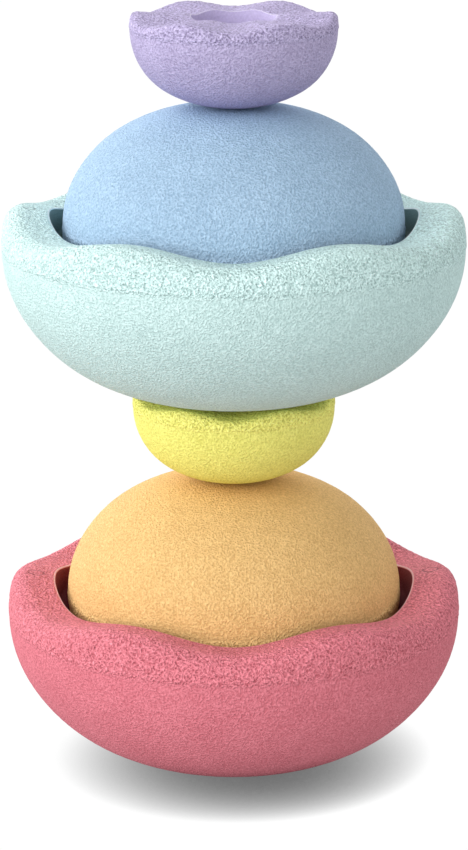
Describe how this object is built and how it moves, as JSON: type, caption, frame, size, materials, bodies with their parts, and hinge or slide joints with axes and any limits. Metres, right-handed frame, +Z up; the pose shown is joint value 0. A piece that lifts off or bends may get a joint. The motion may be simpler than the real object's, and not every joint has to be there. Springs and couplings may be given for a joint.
{
  "type": "stacking cup tower",
  "caption": "Tower of hollow foam stones with wavy rims, bowls, domes and cups by turns, each of which lifts off the one below and can be nested or stepped on.",
  "frame": {"origin": "centre of the red bowl's crown flat, on the surface that the tower stands on", "axes": "+Z up through the common axis of the stones; +X towards a wave crest of every rim, so that -Y, the front, is a trough"},
  "size_m": [0.2756, 0.2756, 0.4544],
  "materials": {
    "red_foam": "expanded polypropylene bead foam, matte, fine-grained skin on the crown, coarse bead texture above the parting line and on the rim",
    "orange_foam": "expanded polypropylene bead foam, matte, fine-grained skin on the crown, coarse bead texture above the parting line and on the rim",
    "yellow_foam": "expanded polypropylene bead foam, matte, fine-grained skin on the crown, coarse bead texture above the parting line and on the rim",
    "mint_foam": "expanded polypropylene bead foam, matte, fine-grained skin on the crown, coarse bead texture above the parting line and on the rim",
    "blue_foam": "expanded polypropylene bead foam, matte, fine-grained skin on the crown, coarse bead texture above the parting line and on the rim",
    "lilac_foam": "expanded polypropylene bead foam, matte, fine-grained skin on the crown, coarse bead texture above the parting line and on the rim"
  },
  "bodies": {
    "red_bowl": {"red_bowl": "red_foam"},
    "orange_dome": {"orange_dome": "orange_foam"},
    "yellow_cup": {"yellow_cup": "yellow_foam"},
    "mint_bowl": {"mint_bowl": "mint_foam"},
    "blue_dome": {"blue_dome": "blue_foam"},
    "lilac_cup": {"lilac_cup": "lilac_foam"}
  },
  "joints": [
    {"name": "orange_dome_lift", "type": "slide", "parent": "red_bowl", "child": "orange_dome", "axis": [0, 0, 1], "range_m": [0, 0.06]},
    {"name": "yellow_cup_lift", "type": "slide", "parent": "orange_dome", "child": "yellow_cup", "axis": [0, 0, 1], "range_m": [0, 0.04]},
    {"name": "mint_bowl_lift", "type": "slide", "parent": "yellow_cup", "child": "mint_bowl", "axis": [0, 0, 1], "range_m": [0, 0.04]},
    {"name": "blue_dome_lift", "type": "slide", "parent": "mint_bowl", "child": "blue_dome", "axis": [0, 0, 1], "range_m": [0, 0.06]},
    {"name": "lilac_cup_lift", "type": "slide", "parent": "blue_dome", "child": "lilac_cup", "axis": [0, 0, 1], "range_m": [0, 0.04]}
  ]
}
